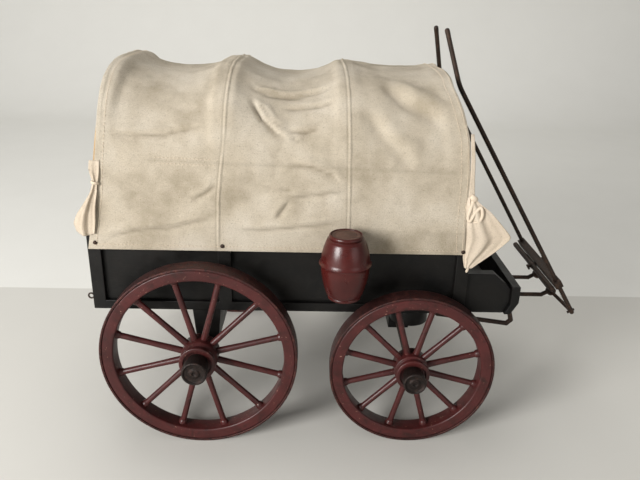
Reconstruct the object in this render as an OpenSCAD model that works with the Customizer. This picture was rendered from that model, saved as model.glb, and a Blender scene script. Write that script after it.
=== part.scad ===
// Toy covered wagon: painted wooden box body, canvas tilt over four bows, four spoked wheels,
// a pivoted front axle with draught irons, and a pair of shafts with a singletree that
// stands folded back against the cover.
// Millimetres. +X is forward, +Y is the left side, +Z is up, the floor is Z = 0.

/* [Body] */
// Width over the side frames
body_w = 230; // [180:1:280]
// Length from the tail to the face of the front board
body_l = 406; // [330:0.1:490]
// Distance from the rear end of the body to the rear axle
rear_overhang = 102.5; // [80:0.1:125]
// Distance from the front axle to the face of the front board
front_overhang = 101.8; // [80:0.1:125]
// Distance from the tail to the second post
second_post = 125.5; // [100:0.1:152]
// Distance from the tail to the third post
third_post = 236.5; // [190:0.1:285]
// Height of the body's underside above the floor
body_z = 129; // [107:0.1:155]
// Height of the body sides under the cover
side_h = 75; // [62:0.1:90]
// Height of the low sides of the driver's box
box_side_h = 40.5; // [33:0.1:49]
// Height of the front board
front_board_h = 29; // [24:0.1:35]
// Length of the driver's box in front of the front post
box_l = 52; // [43:0.1:70]
// Thickness of the side boards
board_t = 10; // [6:0.5:14]
// How far posts and rails stand proud of the side boards
frame_t = 4; // [2:0.5:6]
// Width of the posts
post_w = 12; // [8:0.5:16]
// Height of the bottom rail
rail_h = 9; // [6:0.5:14]
// Thickness of the floor
floor_t = 8; // [5:0.5:12]
// Thickness of the tail and front boards
end_t = 8; // [5:0.5:12]

/* [Cover] */
// Height of the top of the cover above the floor
cover_top = 357; // [297:1:430]
// How far the cover's crest falls from its rear edge to its front edge
cover_drop = 8.5; // [0:0.5:11]
// How far the cover's lower edge laps below the top of the sides
hem_drop = 13; // [5:0.5:18]
// Thickness of the cover
cover_t = 2; // [1:0.1:3]
// Roundness of the cover's arch, higher is squarer
arch_n = 3.4; // [2.4:0.1:4.2]
// How far the cover's top front edge leans back
lean_back = 17.8; // [8:0.1:22]
// How far the cover's top rear edge leans forward
rear_lean = 20; // [0:1:26]
// Width of a bow along the wagon
bow_w = 5; // [3:0.5:8]
// Thickness of a bow
bow_t = 4; // [3:0.5:4]

/* [Wheels] */
// Diameter of a rear wheel
rear_d = 185; // [154:1:222]
// Diameter of a front wheel
front_d = 157.6; // [131:0.1:165]
// Width of the tyres
tyre_w = 18; // [12:0.1:22]
// Thickness of the iron tyres
tyre_t = 2.2; // [1.5:0.1:4]
// Depth of the wooden rim between tyre and spokes
felloe_h = 10.6; // [8:0.1:14]
// Number of spokes in each wheel
spoke_count = 12; // [8:1:16]
// Diameter of a spoke
spoke_d = 6; // [4:0.5:8]
// Gap between the body side and a rear wheel
rear_gap = 12; // [8:0.5:20]
// Gap between the body side and a front wheel
front_gap = 8; // [8:0.5:16]
// Diameter of the axle rods
axle_d = 8; // [6:0.1:10]
// Running clearance between a pin and its bore, on the radius
run = 0.05; // [0.02:0.01:0.1]

/* [Hitch] */
// Height of the shaft hinge above the draught irons
hinge_up = 5; // [3:0.5:8]
// Distance from the front axle to the shaft hinge
hinge_x = 169.3; // [150:0.1:204]
// Spacing of the two draught irons
iron_gap = 46; // [36:1:56]
// Diameter of the draught irons and step irons
iron_d = 4.6; // [3.5:0.1:5.5]
// Spacing of the shafts at their rear ends
shaft_base_w = 118; // [98:1:142]
// Spacing of the shafts at the bend
shaft_bend_w = 100; // [84:1:120]
// Spacing of the shafts at the tips
shaft_tip_w = 57; // [45:1:80]
// Length of a shaft from its rear end to the bend
shaft_l = 273; // [228:1:328]
// Length of a shaft's bent tip
tip_l = 52; // [40:1:63]
// Gap between the folded shafts and the cover's top front edge
rest_gap = 6.53; // [3:0.01:10]
// Lean of the tips from upright, in degrees
tip_lean = 14; // [8:0.5:18]
// Diameter of the shafts
shaft_d = 4.8; // [4:0.1:6]
// Distance from a shaft's rear end up to the crossbar
crossbar_up = 41; // [36:1:60]
// Thickness of the crossbar
crossbar_t = 8; // [6.5:0.1:12]
// Length of the singletree
singletree_l = 132; // [110:1:160]
// Diameter of the singletree
singletree_d = 6; // [5:0.5:8]

/* [Barrel] */
// Height of the barrel without its lid
barrel_h = 58; // [48:0.1:70]
// Diameter of the barrel at its ends
barrel_end_d = 29; // [24:0.1:35]
// Diameter of the barrel at its belly
barrel_belly_d = 47; // [39:0.1:57]
// Height of the barrel's foot above the body's underside
barrel_up = 29; // [24:1:35]
// Thickness of the lid
lid_t = 3; // [2:0.5:5]

/* [Hidden] */
$fn = 64;
seat = 0.3;                 // gap under a cloth or loose piece at rest

half_w = body_w / 2;
body_x0 = -rear_overhang;
body_x1 = body_x0 + body_l;
post_x = [body_x0 + post_w / 2, body_x0 + second_post, body_x0 + third_post,
    body_x1 - box_l - post_w / 2];
side_top = body_z + side_h;
hem_z = side_top - hem_drop;
board_out = half_w - frame_t;
board_in = board_out - board_t;
foot_rise = 12.5;                         // the front board's foot slants back below this height
foot_back = 7;
foot_wall = 2;                           // its inner face slants this much less
floor_x1 = body_x1 - end_t - foot_back + foot_wall;
scoop_l = 17;                            // slope from the box sides down to the front board
board_lip = 4;                           // the front board stands this much above that slope's end

cover_hw = half_w + seat + cover_t;
cover_inset = 1;                         // the cover starts this far in front of the tail
cover_over = 0.5;                        // and passes the middle of the front post by this
bow_inset = 2;                           // the end bows stand this far inside the cover's edges
cover_x0 = body_x0 + cover_inset;
cover_x1 = post_x[3] + cover_over;
cover_fall = cover_drop / (cover_x1 - cover_x0);
hem_spare = 2;                           // the cover is drawn this much longer and cut level
bow_hw = cover_hw - cover_t - seat;
bow_top = cover_top - cover_t - seat;
shoulder_z = cover_top - 52;             // where the front edge starts to lean back
lean_round = 12;                         // and how far under the crest it stops leaning
front_bow_in = 1;                        // the front bow leans this much less
rear_slope = rear_lean / (cover_top - hem_z);
front_slope = -(lean_back - front_bow_in) / (bow_top - side_top);
bow_x = [cover_x0 + rear_slope * hem_drop + bow_inset + bow_w / 2, post_x[1], post_x[2],
    cover_x1 - bow_inset - bow_w / 2];   // at the top of the sides
clear_cut = 10;                          // a cutting shape reaches this far past what it cuts

rear_r = rear_d / 2;
front_r = front_d / 2;
wheel_gap = 16;                          // room that a steering front wheel needs behind it
wheelbase = max(body_l - rear_overhang - front_overhang, rear_r + front_r + wheel_gap);
rear_y = half_w + rear_gap + tyre_w / 2;
front_y = half_w + front_gap + tyre_w / 2;
axle_r = axle_d / 2;

// hub sizes: nave radius, collar radius, collar's front, cap radius, cap's start and end,
// measured outwards from the middle of the rim
REAR_HUB = [17.5, 17, 18, 11.6, 23.5, 34.5];
FRONT_HUB = [16.5, 16, 15, 10.8, 19.5, 29.3];
hub_back = 13;                           // how far a nave reaches inwards
collar_gap = 0.3;                        // play between nave and axle shoulder
shoulder_t = 2;                          // axle shoulder behind each nave
shoulder_step = 4;
nave_chamfer = 3;
nave_out = 7;                            // the nave's full width ends here, then it cones in
neck_cut = 1.5;                          // groove between the nave and its collar
neck_z = 7.5;                            // the groove's ends, back from the collar's front
neck_z1 = 5.5;
collar_t = 4;
collar_edge = 1;
recess = 2.5;                            // depth of the ring-shaped recess round the cap
recess_w = 1.2;
cap_neck = 0.8;
cap_chamfer = 1.2;
cap_face = 4.5;                          // thickness of the cap's outer face
cap_play = 0.5;                          // room between the axle's end and the cap
wheel_fn = 120;
felloe_in = 1;                           // a felloe is this much narrower than its tyre

// rear bolster
bolster_top_w = 27;
bolster_foot_w = 21;
bolster_x = 4;
bolster_in = 2;                          // bolsters stop this far inside the body's width
bolster_hy = half_w - bolster_in;
axle_bed = 2;                            // how deep the rear axle beds into its bolster
bolster_foot_z = rear_r + axle_r - axle_bed;

// fore carriage
plank_w = 37;
plank_t = 15;
plank_z = body_z - plank_t;
plate_r = 30;
plate_t = 3;
plate_z = plank_z - seat - plate_t;
block_w = 22;
block_hy = 36;
block_under = 5;                         // wood below and beside the front axle
block_z = front_r - axle_r - block_under;
kingpin_r = 4;
kingpin_top = body_z - 3;
kingpin_z = front_r + axle_r + 2;

// shafts
iron_r = iron_d / 2;
iron_under = 1.4;                        // wood over the draught irons
iron_z = plate_z - iron_r - iron_under;
iron_lift = 10;                          // the irons start to rise this far behind the hinge
iron_end = 3;
iron_end_z = 1;
hinge_z = iron_z + hinge_up;
hinge_r = 2;
eye_r = 5;
eye_w = 5;
hx = wheelbase + hinge_x;
foot_ahead = 12;                         // the shafts' feet, from the hinge
foot_below = 10;
base_x = hx + foot_ahead;
base_z = hinge_z - foot_below;
shaft_r = shaft_d / 2;
// the folded shafts lean back until their tips pass the cover's top front edge with rest_gap
edge_dx = base_x - cover_x1 + lean_back;
edge_dz = base_z - cover_top + cover_drop;
shaft_lean = tip_lean + asin((edge_dx * cos(tip_lean) + edge_dz * sin(tip_lean)
    - rest_gap - shaft_r) / shaft_l);
up = [-sin(shaft_lean), 0, cos(shaft_lean)];       // along a folded shaft
out = [cos(shaft_lean), 0, sin(shaft_lean)];       // away from the wagon
tip_up = [-sin(tip_lean), 0, cos(tip_lean)];
bar_c = [base_x, 0, base_z] + up * crossbar_up;
bar_over = 4;                            // crossbar past each shaft
collar_r = singletree_d / 2 + 0.5;       // iron clip round the middle of the singletree
collar_l = 10;
tree_play = 0.5;
tree_off = crossbar_t / 2 + tree_play + collar_r;
tree_c = bar_c - out * tree_off;
bolt_r = 1.5;
bolt_head_r = 3.2;
bolt_head = 2;
bolt_nut = 2.5;
foot_pin_up = 4;                         // cross pin through each shaft's foot
foot_pin_r = 1.3;
foot_pin_back = 4.5;
foot_pin_front = 3.5;
stay_r = 1.9;
knob = 0.8;                              // how much the hinge rod's ends swell
rod_over = 3;                            // and how far they reach past the eyes

// screw eyes at the tail
eye_ring = 2.6;
eye_wire = 0.8;
eye_shank = 3.5;
eye_z = body_z + 7.7;
eye_x = body_x0 - eye_shank - eye_ring;
eye_y = half_w - 12;
fine_fn = 24;

// step irons under the driver's box
step_y = half_w - 20;
step_x0 = wheelbase + 22;
step_neck = 4;                           // straight end under the floor
step_back = [7, 10.5];                   // rear bend: forward of the start, below the body
step_drop = 20;                          // lowest bend, below the body
step_low = -2.5;                         // and ahead of the front board
step_nose = [1.5, 16];                   // foremost bend
step_top = [3.5, 2];                     // upper end: behind the front board's face, above its foot

// the origin is under the middle of the whole model
x_min = eye_x - eye_ring - eye_wire;
x_max = base_x + shaft_r * cos(shaft_lean);
x_mid = (x_min + x_max) / 2;

barrel_x = post_x[2];
barrel_r = barrel_belly_d / 2;
barrel_y = -(cover_hw + seat + barrel_r);
barrel_z = body_z + barrel_up;
barrel_steps = 10;
lid_over = 0.75;
pin_drop = 3;                            // clearance between the cover's edge and the pin
pin_gap = 0.2;
barrel_pin_d = 4;
barrel_pin_z = hem_z - barrel_pin_d / 2 - pin_drop;

BLACK = "#151515";
RED = "#5a2022";
BARREL_RED = "#5c1f1d";
IRON = "#2a201a";
CANVAS = "#d3c7ae";
PALE_WOOD = "#a98a5c";

CORNERS = ["rear_right", "rear_left", "front_right", "front_left"];

// ---- helpers ----

elbow = 1.05;

// everything is laid out from the rear axle and then moved over the origin
module placed() translate([-x_mid, 0, 0]) children();

// a flat shape in X and Z given thickness along Y, from y0 to y1
module slab(points, y0, y1)
    translate([0, y1, 0]) rotate([90, 0, 0]) linear_extrude(y1 - y0) polygon(points);

// a round rod from p to q
module rod(p, q, r) {
    d = q - p;
    l = norm(d);
    translate(p) rotate([0, acos(d[2] / l), atan2(d[1], d[0])]) cylinder(h = l, r = r);
}

// a round rod through a list of points, with slightly swollen elbows, as bent iron has
module bent_rod(points, r) {
    for (i = [0 : len(points) - 2]) rod(points[i], points[i + 1], r);
    for (i = [1 : len(points) - 2]) translate(points[i]) sphere(r = r * elbow);
}

// half arch of the cover: a superellipse of half width a and height b, from foot to crest
function arch(a, b, n, steps = 14) =
    [for (i = [0 : steps]) let (t = 90 * i / steps)
        [a * pow(cos(t), 2 / n), b * pow(sin(t), 2 / n)]];

// closed strip between an outer arch and one that lies t inside it, with straight legs
function strip(hw, top, foot, spring, t, n) = let (
        right = arch(hw, top - spring, n),
        inner = arch(hw - t, top - spring - t, n),
        outer_pts = concat([[hw, foot]], [for (p = right) [p[0], p[1] + spring]]),
        inner_pts = concat([[hw - t, foot]], [for (p = inner) [p[0], p[1] + spring]]))
    concat(outer_pts, [for (i = [len(outer_pts) - 2 : -1 : 0]) [-outer_pts[i][0], outer_pts[i][1]]],
        [for (p = inner_pts) [-p[0], p[1]]],
        [for (i = [len(inner_pts) - 2 : -1 : 0]) inner_pts[i]]);

// the same strip given length l along +X
module arch_shell(hw, top, foot, spring, t, l)
    rotate([90, 0, 90]) linear_extrude(l) polygon(strip(hw, top, foot, spring, t, arch_n));

// ---- body ----

module bed_floor() color(BLACK)
    translate([body_x0 + end_t, -board_in, body_z])
        cube([floor_x1 - body_x0 - end_t, 2 * board_in, floor_t]);

side_outline = [
    [body_x0, body_z], [floor_x1, body_z], [body_x1 - end_t, body_z + foot_rise - foot_wall],
    [body_x1 - end_t, body_z + front_board_h - board_lip],
    [body_x1 - end_t - scoop_l, body_z + box_side_h],
    [body_x1 - box_l, body_z + box_side_h], [body_x1 - box_l, side_top], [body_x0, side_top]];

module side_board(s) color(BLACK)
    if (s > 0) slab(side_outline, board_in, board_out);
    else slab(side_outline, -board_out, -board_in);

module side_frame(s) color(BLACK) {
    y0 = s > 0 ? board_out : -half_w;
    union() {
        for (x = post_x) translate([x - post_w / 2, y0, body_z]) cube([post_w, frame_t, side_h]);
        translate([body_x0, y0, body_z]) cube([body_x1 - box_l - body_x0, frame_t, rail_h]);
    }
}

module tail_board() color(BLACK)
    translate([body_x0, -board_in, body_z]) cube([end_t, 2 * board_in, side_h]);

module front_board() color(BLACK)
    slab([[body_x1 - end_t, body_z + front_board_h], [body_x1, body_z + front_board_h],
        [body_x1, body_z + foot_rise], [body_x1 - foot_back, body_z], [floor_x1, body_z],
        [body_x1 - end_t, body_z + foot_rise - foot_wall]], -half_w, half_w);

// ---- cover ----

// a bow that stands at x on the top of the sides and leans along X by slope; it is as high as
// the cover is there, and cut level at its feet
module bow(x, slope = 0) {
    drop = cover_fall * (x + slope * (bow_top - side_top) - cover_x0);
    color(PALE_WOOD) difference() {
        multmatrix([[1, 0, slope, x - bow_w / 2 - side_top * slope], [0, 1, 0, 0], [0, 0, 1, -drop],
            [0, 0, 0, 1]])
            arch_shell(bow_hw, bow_top, side_top - hem_spare, side_top, bow_t, bow_w);
        translate([x - bow_w - clear_cut, -cover_hw, side_top - 2 * clear_cut])
            cube([2 * (bow_w + clear_cut), 2 * cover_hw, 2 * clear_cut]);
    }
}

module canvas_cover() color(CANVAS)
    difference() {
        multmatrix([[1, 0, 0, cover_x0], [0, 1, 0, 0], [-cover_fall, 0, 1, 0], [0, 0, 0, 1]])
            arch_shell(cover_hw, cover_top, hem_z - hem_spare, side_top, cover_t, cover_x1 - cover_x0);
        slab([[cover_x0 - clear_cut, hem_z - 2 * clear_cut], [cover_x1 + clear_cut, hem_z - 2 * clear_cut],
            [cover_x1 + clear_cut, hem_z], [cover_x0 - clear_cut, hem_z]],
            -cover_hw - clear_cut, cover_hw + clear_cut);
        slab([[cover_x1, shoulder_z], [cover_x1 + clear_cut, shoulder_z],
            [cover_x1 + clear_cut, cover_top + clear_cut], [cover_x1 - lean_back, cover_top + clear_cut],
            [cover_x1 - lean_back, cover_top - lean_round]], -cover_hw - clear_cut, cover_hw + clear_cut);
        slab([[cover_x0, hem_z], [cover_x0 + rear_lean + rear_slope * clear_cut, cover_top + clear_cut],
            [cover_x0 - clear_cut, cover_top + clear_cut], [cover_x0 - clear_cut, hem_z]],
            -cover_hw - clear_cut, cover_hw + clear_cut);
    }

// ---- barrel ----

function belly(z) = let (k = 2 * z / barrel_h - 1)
    barrel_end_d / 2 + (barrel_belly_d - barrel_end_d) / 2 * (1 - k * k);

module barrel() color(BARREL_RED)
    translate([barrel_x, barrel_y, barrel_z])
        rotate_extrude() polygon(concat([[0, 0]],
            [for (i = [0 : barrel_steps]) let (z = i * barrel_h / barrel_steps) [belly(z), z]],
            [[0, barrel_h]]));

// the spacer pin that carries the barrel off the post, just below the cover's edge
module barrel_pin() color(IRON)
    translate([barrel_x, -half_w, barrel_pin_z]) rotate([90, 0, 0])
        cylinder(h = -half_w - barrel_y - belly(barrel_pin_z - barrel_z) - pin_gap, r = barrel_pin_d / 2);

module barrel_lid() color("#4a3223")
    translate([barrel_x, barrel_y, barrel_z + barrel_h]) cylinder(h = lid_t, r = barrel_end_d / 2 + lid_over);

// ---- rear running gear ----

module rear_bolster() color(BLACK)
    difference() {
        slab([[bolster_x - bolster_top_w / 2, body_z], [bolster_x + bolster_top_w / 2, body_z],
            [bolster_x + bolster_foot_w / 2, bolster_foot_z], [bolster_x - bolster_foot_w / 2, bolster_foot_z]],
            -bolster_hy, bolster_hy);
        translate([0, 0, rear_r]) rotate([90, 0, 0])
            cylinder(h = body_w, r = axle_r + run, center = true);
    }

// axle rod with a shoulder inside each nave; y is the middle of a rim, end its tip beyond that
module axle_rod(x, z, y, end) color(IRON)
    translate([x, 0, z]) rotate([90, 0, 0]) union() {
        cylinder(h = 2 * (y + end), r = axle_r, center = true);
        for (s = [-1, 1]) translate([0, 0, s * (y - hub_back - collar_gap - shoulder_t / 2)])
            cylinder(h = shoulder_t, r = axle_r + shoulder_step, center = true);
    }

module rear_axle() axle_rod(0, rear_r, rear_y, REAR_HUB[5] - cap_face - cap_play);

module screw_eyes() color(IRON)
    for (s = [-1, 1]) translate([eye_x, s * eye_y, eye_z]) {
        rotate([90, 0, 0]) rotate_extrude() translate([eye_ring, 0]) circle(r = eye_wire, $fn = fine_fn);
        translate([eye_ring, 0, 0]) rotate([0, 90, 0]) cylinder(h = eye_shank, r = eye_wire, $fn = fine_fn);
    }

// ---- front running gear ----

module front_bolster() color(BLACK)
    difference() {
        union() {
            translate([wheelbase - plank_w / 2, plank_w / 2 - bolster_hy, plank_z])
                cube([plank_w, 2 * bolster_hy - plank_w, plank_t]);
            for (s = [-1, 1]) translate([wheelbase, s * (bolster_hy - plank_w / 2), plank_z])
                cylinder(h = plank_t, r = plank_w / 2);
        }
        translate([wheelbase, 0, plank_z - clear_cut])
            cylinder(h = plank_t + 2 * clear_cut, r = kingpin_r + run);
    }

module axle_block() color(BLACK)
    difference() {
        union() {
            translate([wheelbase - block_w / 2, -block_hy, block_z])
                cube([block_w, 2 * block_hy, plate_z - block_z]);
            translate([wheelbase, 0, plate_z]) cylinder(h = plate_t, r = plate_r);
        }
        translate([wheelbase, 0, front_r]) rotate([90, 0, 0])
            cylinder(h = body_w, r = axle_r + run, center = true);
        translate([wheelbase, 0, kingpin_z]) cylinder(h = kingpin_top - kingpin_z, r = kingpin_r + run);
    }

module front_axle()
    axle_rod(wheelbase, front_r, front_y, FRONT_HUB[5] - cap_face - cap_play);

module kingpin() color(IRON)
    translate([wheelbase, 0, kingpin_z]) cylinder(h = kingpin_top - kingpin_z, r = kingpin_r);

module draught_irons() color(IRON)
    for (s = [-1, 1]) {
        y = s * iron_gap / 2;
        difference() {
            union() {
                bent_rod([[wheelbase + block_w / 2, y, iron_z], [hx - iron_lift, y, iron_z],
                    [hx - iron_end, y, hinge_z - iron_end_z]], iron_r);
                translate([hx, y, hinge_z]) rotate([90, 0, 0]) cylinder(h = eye_w, r = eye_r, center = true);
            }
            translate([hx, y, hinge_z]) rotate([90, 0, 0])
                cylinder(h = 2 * eye_w, r = hinge_r + run, center = true);
        }
    }

module step_irons() color(IRON)
    for (s = [-1, 1]) let (y = s * step_y) bent_rod([
        [step_x0, y, body_z], [step_x0, y, body_z - step_neck],
        [step_x0 + step_back[0], y, body_z - step_back[1]],
        [body_x1 + step_low, y, body_z - step_drop], [body_x1 + step_nose[0], y, body_z - step_nose[1]],
        [body_x1 - step_top[0], y, body_z + step_top[1]]], iron_r);

// ---- shafts ----

function base_pt(s) = [base_x, s * shaft_base_w / 2, base_z];
function bend_pt(s) = [base_x, s * shaft_bend_w / 2, base_z] + up * shaft_l;
function tip_pt(s) = [bend_pt(s)[0], s * shaft_tip_w / 2, bend_pt(s)[2]] + tip_up * tip_l;

module shaft(s) color(IRON) {
    b = base_pt(s);
    union() {
        bent_rod([b, bend_pt(s), tip_pt(s)], shaft_r);
        rod(b - out * foot_pin_back + up * foot_pin_up, b + out * foot_pin_front + up * foot_pin_up,
            foot_pin_r);
    }
}

module crossbar() color(IRON)
    difference() {
        translate(bar_c) rotate([0, -shaft_lean, 0])
            cube([crossbar_t, shaft_base_w + 2 * bar_over, crossbar_t], center = true);
        for (s = [-1, 1]) rod(base_pt(s), bend_pt(s), shaft_r + run);
        rod(bar_c - out * crossbar_t, bar_c + out * crossbar_t, bolt_r + run);
    }

// the hinge rod turns in the irons' eyes, and a stay runs from each end to the shaft's foot
module hinge_rod() color(IRON) {
    hy = iron_gap / 2 + eye_w / 2 + rod_over;
    union() {
        rod([hx, -hy, hinge_z], [hx, hy, hinge_z], hinge_r);
        for (s = [-1, 1]) {
            translate([hx, s * hy, hinge_z]) sphere(r = hinge_r + knob);
            difference() {
                rod([hx, s * hy, hinge_z], base_pt(s) + up * foot_pin_up, stay_r);
                rod(base_pt(s), bend_pt(s), shaft_r);
            }
        }
    }
}

module singletree_bolt() color(IRON) {
    back = tree_off + collar_r + tree_play;
    front = crossbar_t / 2;
    union() {
        rod(bar_c - out * (back + bolt_head), bar_c + out * (front + bolt_nut), bolt_r);
        rod(bar_c - out * (back + bolt_head), bar_c - out * back, bolt_head_r);
        rod(bar_c + out * front, bar_c + out * (front + bolt_nut), bolt_head_r);
    }
}

// a round bar with domed ends and a clip round its middle, where the bolt goes through
module singletree() color(IRON) {
    end = singletree_l / 2 - singletree_d / 2;
    difference() {
        union() {
            rod(tree_c - [0, end, 0], tree_c + [0, end, 0], singletree_d / 2);
            rod(tree_c - [0, collar_l / 2, 0], tree_c + [0, collar_l / 2, 0], collar_r);
            for (s = [-1, 1]) translate(tree_c + [0, s * end, 0]) sphere(r = singletree_d / 2);
        }
        rod(tree_c - out * 2 * collar_r, tree_c + out * 2 * collar_r, bolt_r + run);
    }
}

// ---- wheels ----

// a wheel stands on its own axis, +Z outwards, with the middle of the rim at zero
module at_wheel(i) {
    rear = i < 2;
    s = i % 2 == 0 ? -1 : 1;
    translate([rear ? 0 : wheelbase, s * (rear ? rear_y : front_y), rear ? rear_r : front_r])
        rotate([-s * 90, 0, 0]) children();
}
function wheel_r(i) = i < 2 ? rear_r : front_r;
function hub(i) = i < 2 ? REAR_HUB : FRONT_HUB;

module tyre(i) color(IRON)
    difference() {
        cylinder(h = tyre_w, r = wheel_r(i), center = true, $fn = wheel_fn);
        cylinder(h = 2 * tyre_w, r = wheel_r(i) - tyre_t, center = true, $fn = wheel_fn);
    }

module felloe(i) color(RED)
    difference() {
        cylinder(h = tyre_w - felloe_in, r = wheel_r(i) - tyre_t, center = true, $fn = wheel_fn);
        cylinder(h = 2 * tyre_w, r = wheel_r(i) - tyre_t - felloe_h, center = true, $fn = wheel_fn);
    }

module spokes(i) color(RED)
    intersection() {
        difference() {
            cylinder(h = tyre_w, r = wheel_r(i) - tyre_t - felloe_h, center = true, $fn = wheel_fn);
            cylinder(h = 2 * tyre_w, r = hub(i)[0], center = true);
        }
        for (k = [0 : spoke_count - 1]) rotate([0, 0, (k + 0.5) * 360 / spoke_count]) rotate([0, 90, 0])
            cylinder(h = wheel_r(i), r = spoke_d / 2);
    }

module nave(i) color(RED) {
    h = hub(i);
    bore = axle_r + run;
    rotate_extrude() polygon([[bore, -hub_back], [h[0] - nave_chamfer, -hub_back],
        [h[0], nave_chamfer - hub_back], [h[0], nave_out], [h[1] - neck_cut, h[2] - neck_z],
        [h[1] - neck_cut, h[2] - neck_z1], [h[1], h[2] - collar_t], [h[1], h[2] - collar_edge],
        [h[1] - collar_edge, h[2]], [h[3] + recess_w, h[2]], [h[3] + recess_w, h[2] - recess],
        [bore, h[2] - recess]]);
}

module hub_cap(i) color(IRON) {
    h = hub(i);
    bore = axle_r + cap_play;
    rotate_extrude() polygon([[bore, h[2] - recess], [h[3] - cap_neck, h[2] - recess],
        [h[3] - cap_neck, h[4]], [h[3], h[4]], [h[3], h[5] - cap_chamfer],
        [h[3] - cap_chamfer, h[5]], [0, h[5]], [0, h[5] - cap_face], [bore, h[5] - cap_face]]);
}

placed() bed_floor();
placed() side_board(-1);  // right_side_board
placed() side_board(1);  // left_side_board
placed() side_frame(-1);  // right_side_frame
placed() side_frame(1);  // left_side_frame
placed() tail_board();
placed() front_board();
placed() bow(bow_x[0], rear_slope);  // rear_bow
placed() bow(bow_x[1]);  // second_bow
placed() bow(bow_x[2]);  // third_bow
placed() bow(bow_x[3], front_slope);  // front_bow
placed() canvas_cover();
placed() barrel();
placed() barrel_lid();
placed() barrel_pin();
placed() rear_bolster();
placed() rear_axle();
placed() front_bolster();
placed() step_irons();
placed() screw_eyes();
placed() axle_block();
placed() front_axle();
placed() kingpin();
placed() draught_irons();
placed() shaft(-1);  // right_shaft
placed() shaft(1);  // left_shaft
placed() crossbar();
placed() hinge_rod();
placed() singletree_bolt();
placed() singletree();
for (i = [0 : 3]) {
    placed() at_wheel(i) nave(i);
    placed() at_wheel(i) spokes(i);
    placed() at_wheel(i) felloe(i);
    placed() at_wheel(i) tyre(i);
    placed() at_wheel(i) hub_cap(i);
}
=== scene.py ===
# Toy covered wagon: painted wooden body, spoked wheels, twisted iron shafts and a sewn canvas cover.
# Lengths in the settings are millimetres, measured from the rear axle, the wagon's middle and the floor.
import bpy
import math
import numpy as np
from mathutils import Matrix, Vector, noise


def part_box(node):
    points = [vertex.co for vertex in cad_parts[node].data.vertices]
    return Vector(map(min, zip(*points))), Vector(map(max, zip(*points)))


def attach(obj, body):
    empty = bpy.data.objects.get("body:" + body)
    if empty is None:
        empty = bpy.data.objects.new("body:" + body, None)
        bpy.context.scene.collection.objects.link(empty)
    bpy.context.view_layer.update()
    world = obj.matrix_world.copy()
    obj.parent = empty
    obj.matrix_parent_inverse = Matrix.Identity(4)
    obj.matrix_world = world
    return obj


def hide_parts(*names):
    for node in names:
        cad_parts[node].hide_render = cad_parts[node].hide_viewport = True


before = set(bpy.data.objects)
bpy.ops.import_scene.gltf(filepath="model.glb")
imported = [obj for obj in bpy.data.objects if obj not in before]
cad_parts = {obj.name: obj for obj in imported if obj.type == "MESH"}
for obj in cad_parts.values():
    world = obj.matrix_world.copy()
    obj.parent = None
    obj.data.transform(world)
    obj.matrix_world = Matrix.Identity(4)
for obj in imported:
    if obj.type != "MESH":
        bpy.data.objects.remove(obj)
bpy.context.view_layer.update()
scene = bpy.context.scene
corners = ["rear_right", "rear_left", "front_right", "front_left"]


def middle(node):
    low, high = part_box(node)
    return (Vector(low) + Vector(high)) / 2


def size(node):
    low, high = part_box(node)
    return (Vector(high) - Vector(low)) * 1000


def low(node):
    return Vector(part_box(node)[0]) * 1000


def high(node):
    return Vector(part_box(node)[1]) * 1000


rearAxleX = middle("rear_right_tyre").x  # every length below starts here


def at(x, y, z):
    return Vector((rearAxleX + x / 1000, y / 1000, z / 1000))


def fromAxle(x):  # a place along the wagon, in millimetres from the rear axle
    return x - rearAxleX * 1000


# materials

def linear(hexText):
    parts = [int(hexText[i:i + 2], 16) / 255 for i in (1, 3, 5)]
    return (*[c / 12.92 if c <= 0.04045 else ((c + 0.055) / 1.055) ** 2.4 for c in parts], 1)


def add(tree, kind, settings=None, inputs=None):  # an input that is a socket is linked, any other is set
    node = tree.nodes.new(kind)
    for name, value in (settings or {}).items():
        if name == "stops":  # pairs of place and colour along a colour ramp
            while len(node.color_ramp.elements) < len(value):
                node.color_ramp.elements.new(0.5)
            for stop, (place, colour) in zip(node.color_ramp.elements, value):
                stop.position, stop.color = place, linear(colour)
        else:
            setattr(node, name, value)
    for name, value in (inputs or {}).items():
        if isinstance(value, bpy.types.NodeSocket):
            tree.links.new(value, node.inputs[name])
        else:
            node.inputs[name].default_value = value
    return node


product = {"operation": "MULTIPLY", "use_clamp": True}
blend = {"data_type": "RGBA"}  # its inputs 0, 6 and 7 are the share and the two colours, and output 2 is the mix


def begin(name, values):  # a new material with its shader, and the surface's place in millimetres
    material = bpy.data.materials.new(name)
    material.use_nodes = True
    tree = material.node_tree
    tree.nodes.clear()
    shader = add(tree, "ShaderNodeBsdfPrincipled", inputs=values)
    add(tree, "ShaderNodeOutputMaterial", inputs={"Surface": shader.outputs[0]})
    place = add(tree, "ShaderNodeTexCoord").outputs["Object"]
    inMm = add(tree, "ShaderNodeVectorMath", {"operation": "SCALE"}, {0: place, "Scale": 1000})
    return material, tree, shader, inMm.outputs[0]


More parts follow.
